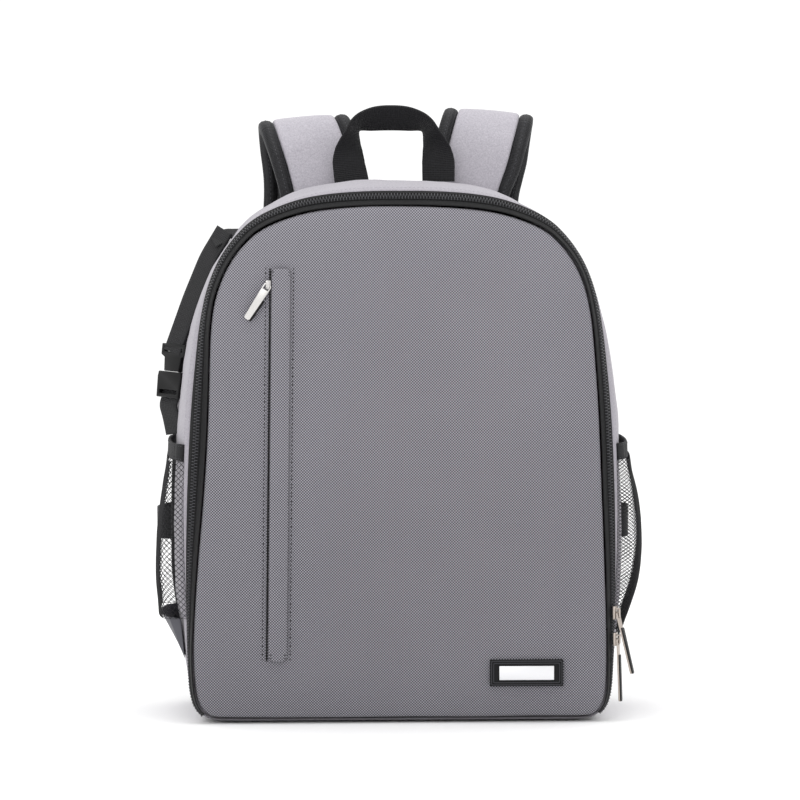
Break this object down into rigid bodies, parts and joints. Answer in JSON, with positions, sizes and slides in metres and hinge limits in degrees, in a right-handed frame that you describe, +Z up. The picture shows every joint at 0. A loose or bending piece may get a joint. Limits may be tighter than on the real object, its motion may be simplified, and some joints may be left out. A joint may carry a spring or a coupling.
{
  "type": "camera backpack",
  "caption": "Padded clamshell camera backpack with a zipped front panel, slanted-pull front pocket, mesh side pockets, padded shoulder straps, webbing grab handle and a buckled side strap.",
  "frame": {"origin": "middle of the flat base that the bag stands on, between its front rim and its back wall", "axes": "+Z up, -Y towards the zipped front panel, +Y towards the wearer's back and the shoulder straps, +X to the right as seen from the front"},
  "size_m": [0.3718, 0.219, 0.4639],
  "materials": {
    "panel_cloth": "two-tone dotted polyester weave, mid grey",
    "gusset_cloth": "fine melange polyester, light grey",
    "zip_tape": "woven black zip tape",
    "zip_coil": "black nylon coil",
    "binding": "black grosgrain binding",
    "spacer_mesh": "black air mesh over foam",
    "webbing": "ribbed black webbing",
    "net": "black knotless net",
    "coated_cloth": "coated dark grey cloth",
    "acetal": "moulded black acetal",
    "rubber": "moulded black rubber",
    "label_plate": "brushed, bare",
    "nickel": "polished nickel plate"
  },
  "bodies": {
    "root": {"body_shell": "gusset_cloth", "front_panel": "panel_cloth", "zip_tape_body": "zip_tape", "zip_coil": "zip_coil", "zip_tape_panel": "zip_tape", "back_piping": "binding", "back_pad": "spacer_mesh", "pocket_flap": "panel_cloth", "pocket_zip": "zip_tape", "pocket_slider": "nickel", "label_patch": "rubber", "label_plate": "label_plate", "grab_handle": "webbing", "shoulder_strap_left": "gusset_cloth", "strap_binding_outer_left": "binding", "strap_binding_inner_left": "binding", "strap_adjuster_left": "acetal", "strap_webbing_left": "webbing", "shoulder_strap_right": "gusset_cloth", "strap_binding_outer_right": "binding", "strap_binding_inner_right": "binding", "strap_adjuster_right": "acetal", "strap_webbing_right": "webbing", "pocket_net_left": "net", "pocket_net_right": "net", "pocket_elastic_left": "webbing", "pocket_elastic_right": "webbing", "pocket_base_left": "coated_cloth", "side_strap_anchor": "webbing", "side_strap_upper": "webbing", "buckle_male": "acetal", "buckle_female": "acetal", "side_strap_lower": "webbing", "upper_zip_slider": "nickel", "lower_zip_slider": "nickel"},
    "pocket_pull": {"pocket_pull": "nickel"},
    "upper_pull": {"upper_zip_pull": "nickel"},
    "lower_pull": {"lower_zip_pull": "nickel"}
  },
  "joints": [
    {"name": "pocket_pull_swing", "type": "hinge", "parent": "root", "child": "pocket_pull", "pos_m": [-0.09953, -0.08056, 0.329], "axis": [-0.8387, 0, 0.5446], "range_deg": [0, 150]},
    {"name": "upper_pull_swing", "type": "hinge", "parent": "root", "child": "upper_pull", "pos_m": [0.16253, -0.06669, 0.082], "axis": [-0.418, -0.9084, 0], "range_deg": [0, 150]},
    {"name": "lower_pull_swing", "type": "hinge", "parent": "root", "child": "lower_pull", "pos_m": [0.16289, -0.06606, 0.062], "axis": [-0.3335, -0.9427, 0], "range_deg": [-2, 14]}
  ]
}
